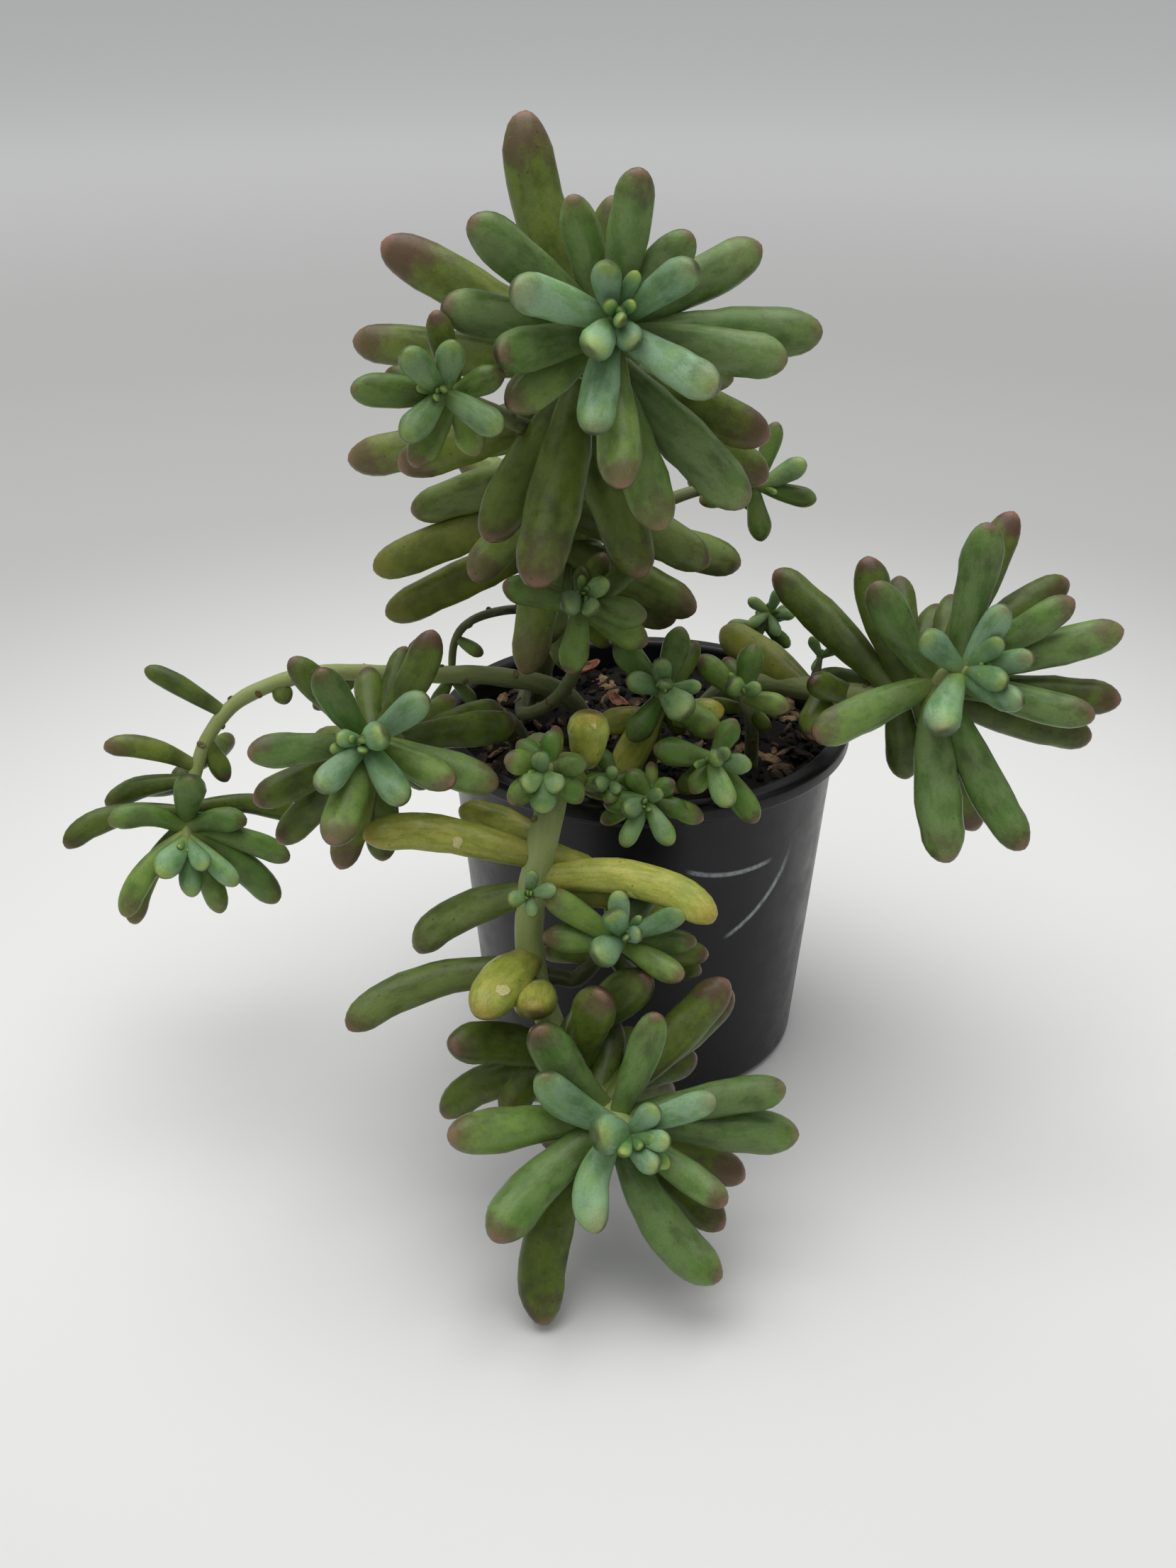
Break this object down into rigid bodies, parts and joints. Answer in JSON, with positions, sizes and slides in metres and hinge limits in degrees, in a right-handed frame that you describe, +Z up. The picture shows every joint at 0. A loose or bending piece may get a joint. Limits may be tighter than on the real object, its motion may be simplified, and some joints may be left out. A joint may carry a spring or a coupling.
{
  "type": "potted sedum",
  "caption": "Bushy sedum with finger-like fleshy leaves on branching stems, one drooping over the rim, in a round black plastic nursery pot.",
  "frame": {"origin": "middle of the pot's flat underside, on the floor", "axes": "+Z up along the pot's axis, -Y towards the drooping stem, +X to the right seen from the front"},
  "size_m": [0.2173, 0.1544, 0.206],
  "materials": {
    "black_plastic": "satin black polypropylene, lightly scuffed",
    "potting_mix": "dark crumbly potting mix with bark chips",
    "leaf": "fleshy olive to blue-green leaf with a waxy bloom and brown-purple tip"
  },
  "bodies": {
    "root": {"pot": "black_plastic", "soil": "potting_mix", "crown_stem": "leaf", "front_stem": "leaf", "right_stem": "leaf", "near_left_stem": "leaf", "far_left_stem": "leaf", "middle_sprig": "leaf", "left_rim_sprig": "leaf", "rim_sprig": "leaf", "right_rim_sprig": "leaf", "right_sprig": "leaf", "back_sprig": "leaf"}
  },
  "joints": []
}
